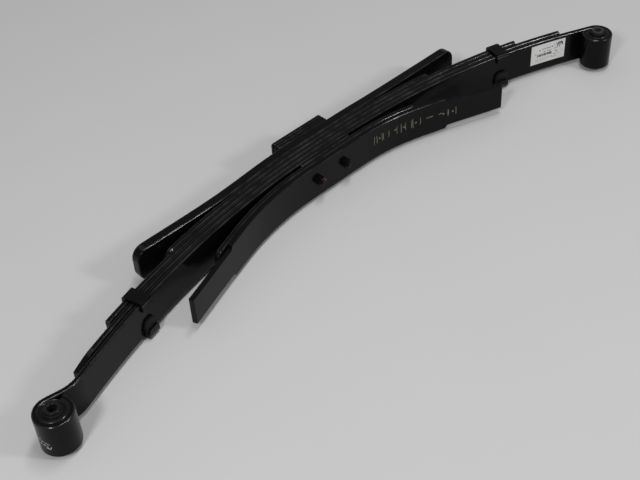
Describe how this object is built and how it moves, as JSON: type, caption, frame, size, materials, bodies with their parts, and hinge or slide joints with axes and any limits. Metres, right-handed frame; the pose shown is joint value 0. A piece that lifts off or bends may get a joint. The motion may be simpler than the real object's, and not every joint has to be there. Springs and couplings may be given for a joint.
{
  "type": "leaf spring",
  "caption": "Arched multi-leaf rear suspension spring with rolled bushed eyes, a heavy overload leaf, an upper helper pack, riveted rebound clips and axle seat plates.",
  "frame": {"origin": "where the centre bolt's axis meets the axle seat face, half way across the leaf width", "axes": "+X along the spring towards the front eye (the smaller one), +Y from the leaves to the axle, on the convex side, +Z across the leaf width; the spring lies on its side"},
  "size_m": [1.532, 0.2969, 0.0922],
  "materials": {
    "leaf_paint": "gloss",
    "plate_paint": "gloss",
    "clip_paint": "gloss",
    "bolt_paint": "satin",
    "bushing_steel": "satin",
    "bushing_rubber": "matte",
    "pad_rubber": "matte",
    "tip_pad_plastic": "matte",
    "label_film": "satin"
  },
  "bodies": {
    "spring_pack": {"main_leaf": "leaf_paint", "second_leaf": "leaf_paint", "third_leaf": "leaf_paint", "fourth_leaf": "leaf_paint", "overload_leaf": "leaf_paint", "helper_leaf": "leaf_paint", "helper_support_leaf": "leaf_paint", "helper_spacer": "plate_paint", "outer_seat_plate": "plate_paint", "middle_seat_plate": "plate_paint", "inner_seat_plate": "plate_paint", "centre_bolt": "bolt_paint", "clamp_bolt": "bolt_paint", "pack_bolt_nuts": "bolt_paint", "rear_rebound_clip": "clip_paint", "front_rebound_clip": "clip_paint", "rear_clip_pad": "pad_rubber", "front_clip_pad": "pad_rubber", "clip_rivets": "clip_paint", "second_leaf_tip_pads": "tip_pad_plastic", "third_leaf_tip_pads": "tip_pad_plastic", "fourth_leaf_tip_pads": "tip_pad_plastic", "rear_bushing_can": "bushing_steel", "rear_bushing_rubber": "bushing_rubber", "front_bushing_can": "bushing_steel", "front_bushing_rubber": "bushing_rubber", "part_label": "label_film"},
    "rear_sleeve": {"rear_inner_sleeve": "bushing_steel"},
    "front_sleeve": {"front_inner_sleeve": "bushing_steel"}
  },
  "joints": [
    {"name": "rear_bushing_twist", "type": "hinge", "parent": "spring_pack", "child": "rear_sleeve", "pos_m": [-0.79822, -0.24812, 0], "axis": [0, 0, 1], "range_deg": [-18, 18], "stiffness_Nm_per_rad": 60},
    {"name": "front_bushing_twist", "type": "hinge", "parent": "spring_pack", "child": "front_sleeve", "pos_m": [0.66524, -0.24742, 0], "axis": [0, 0, 1], "range_deg": [-15, 15], "stiffness_Nm_per_rad": 60}
  ]
}
